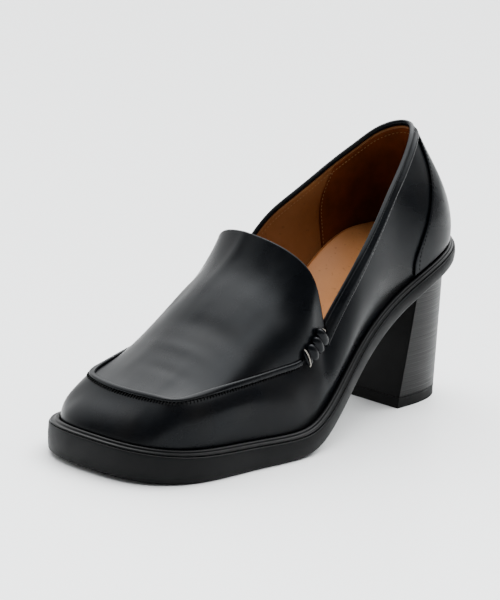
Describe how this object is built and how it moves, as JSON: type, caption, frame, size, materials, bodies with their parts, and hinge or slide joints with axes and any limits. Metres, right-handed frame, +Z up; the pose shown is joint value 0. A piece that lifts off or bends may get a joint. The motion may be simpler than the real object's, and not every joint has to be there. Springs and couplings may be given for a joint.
{
  "type": "loafer pump",
  "caption": "Left loafer pump with a high stacked block heel, a platform sole, a raised apron seam gathered at the throat, and an open V-shaped collar.",
  "frame": {"origin": "middle of the sole's outline, on the plane that the forefoot and the heel stand on", "axes": "+Z up from the floor, -Y towards the toe, +Y towards the heel, +X towards the outer side of the foot"},
  "size_m": [0.098, 0.2454, 0.1445],
  "materials": {
    "upper_leather": "black polished calf, soft broad gloss",
    "lining_leather": "tan-brown lining, matte; dark red-brown suede at the heel",
    "insole_leather": "light tan sock, satin",
    "sole_rubber": "black platform sole and welt, matte",
    "heel_stack": "black-stained stacked layers, satin, with fine level lines",
    "top_piece_rubber": "black rubber, matte",
    "thread": "waxed thread"
  },
  "bodies": {
    "root": {"upper": "upper_leather", "heel_counter": "upper_leather", "topline_band": "upper_leather", "apron_bead": "upper_leather", "gather_lateral": "upper_leather", "gather_medial": "upper_leather", "insole": "insole_leather", "outsole": "sole_rubber", "welt": "sole_rubber", "heel_block": "heel_stack", "heel_top_piece": "top_piece_rubber"}
  },
  "joints": []
}
